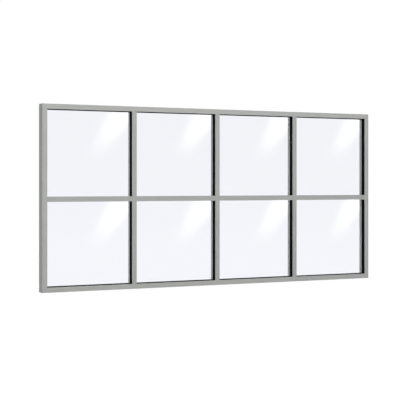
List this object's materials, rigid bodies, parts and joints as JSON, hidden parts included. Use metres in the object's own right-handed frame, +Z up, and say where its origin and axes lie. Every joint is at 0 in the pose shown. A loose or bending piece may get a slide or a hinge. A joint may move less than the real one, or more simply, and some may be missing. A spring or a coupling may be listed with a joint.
{
  "type": "fixed glazed side panel",
  "caption": "Fixed aluminium-framed glass side panel with square panes in two rows, black gaskets in front of the glass and clip-in beads behind it.",
  "frame": {"origin": "middle of the panel's underside, halfway between front and back, on the sill face", "axes": "+X along the panel to the right seen from the front, +Y from the front to the back, +Z up"},
  "size_m": [3, 0.085, 1.45],
  "materials": {
    "frame_coating": "fine matt powder coat, warm grey",
    "bead_coating": "satin powder coat, warm grey, a little glossier than the frame",
    "clear_glass": "clear toughened float glass",
    "black_gasket": "smooth black EPDM",
    "setting_block": "dense black rubber",
    "bare_aluminium": "mill finish"
  },
  "bodies": {
    "root": {"frame_top_rail": "frame_coating", "frame_bottom_rail": "frame_coating", "frame_left_jamb": "frame_coating", "frame_right_jamb": "frame_coating", "mullion_left": "frame_coating", "mullion_centre": "frame_coating", "mullion_right": "frame_coating", "transom_1": "frame_coating", "transom_2": "frame_coating", "transom_3": "frame_coating", "transom_4": "frame_coating", "pane_upper_1": "clear_glass", "pane_upper_2": "clear_glass", "pane_upper_3": "clear_glass", "pane_upper_4": "clear_glass", "pane_lower_1": "clear_glass", "pane_lower_2": "clear_glass", "pane_lower_3": "clear_glass", "pane_lower_4": "clear_glass", "outer_gasket_upper_1": "black_gasket", "outer_gasket_upper_2": "black_gasket", "outer_gasket_upper_3": "black_gasket", "outer_gasket_upper_4": "black_gasket", "outer_gasket_lower_1": "black_gasket", "outer_gasket_lower_2": "black_gasket", "outer_gasket_lower_3": "black_gasket", "outer_gasket_lower_4": "black_gasket", "inner_gasket_upper_1": "black_gasket", "inner_gasket_upper_2": "black_gasket", "inner_gasket_upper_3": "black_gasket", "inner_gasket_upper_4": "black_gasket", "inner_gasket_lower_1": "black_gasket", "inner_gasket_lower_2": "black_gasket", "inner_gasket_lower_3": "black_gasket", "inner_gasket_lower_4": "black_gasket", "beads_upper_1": "bead_coating", "beads_upper_2": "bead_coating", "beads_upper_3": "bead_coating", "beads_upper_4": "bead_coating", "beads_lower_1": "bead_coating", "beads_lower_2": "bead_coating", "beads_lower_3": "bead_coating", "beads_lower_4": "bead_coating", "setting_blocks": "setting_block", "corner_cleats": "bare_aluminium"}
  },
  "joints": []
}
